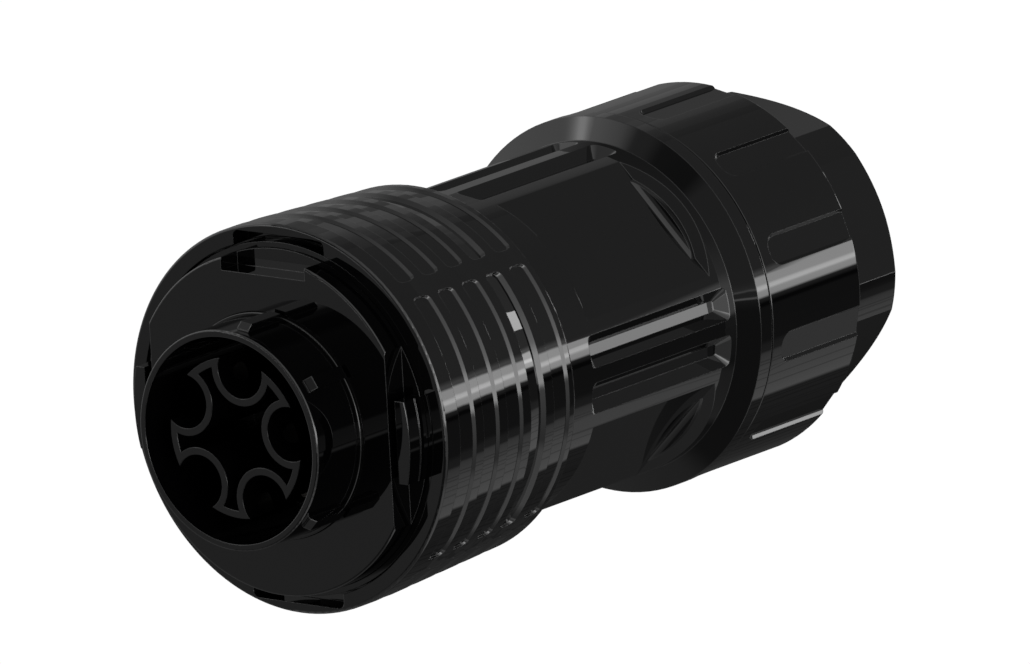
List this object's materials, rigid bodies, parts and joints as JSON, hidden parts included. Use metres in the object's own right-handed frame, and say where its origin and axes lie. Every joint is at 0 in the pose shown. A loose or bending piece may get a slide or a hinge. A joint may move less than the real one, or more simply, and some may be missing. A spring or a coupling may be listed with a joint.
{
  "type": "ac cable connector",
  "caption": "Round black AC power cable connector with a recessed-pin insert, grooved coupling ring, panelled body and hexagonal union nut with a cable gland.",
  "frame": {"origin": "centre of the union nut's rear face, which the part stands on", "axes": "+Z along the connector's axis towards the mating face, +Y towards the key notch"},
  "size_m": [0.05, 0.05, 0.1122],
  "materials": {
    "shell": "glossy black moulded polyamide",
    "insert": "glossy black moulded insert",
    "seal": "smooth black elastomer",
    "contact": "silver-plated turned contact",
    "spring_steel": "bright stainless strip"
  },
  "bodies": {
    "housing": {"main_housing": "shell", "bayonet_ring": "shell", "ring_retainer": "shell", "contact_carrier": "insert", "interface_seal": "seal", "contact_pin_pe": "contact", "contact_pin_l1": "contact", "contact_pin_l2": "contact", "contact_pin_l3": "contact", "contact_pin_n": "contact", "contact_retainer": "insert", "retainer_screw": "spring_steel", "carrier_seal": "seal", "rear_seal": "seal", "keying_core": "insert", "clamping_cage": "insert", "sealing_grommet": "seal"},
    "coupling": {"coupling_ring": "shell", "detent_spring": "spring_steel"},
    "thrust": {"thrust_washer": "insert"},
    "nut": {"gland_nut": "shell"}
  },
  "joints": [
    {"name": "coupling_turn", "type": "hinge", "parent": "housing", "child": "coupling", "pos_m": [0, 0, 0.0872], "axis": [0, 0, 1], "range_deg": [0, 40]},
    {"name": "nut_travel", "type": "slide", "parent": "housing", "child": "thrust", "axis": [0, 0, -1], "range_m": [0, 0.008]},
    {"name": "nut_turn", "type": "hinge", "parent": "thrust", "child": "nut", "pos_m": [0, 0, 0.0132], "axis": [0, 0, -1], "range_deg": [0, 1440]}
  ],
  "couplings": [
    {"joint": "nut_turn", "follows": "nut_travel", "rad_per_m": 3141.6}
  ]
}
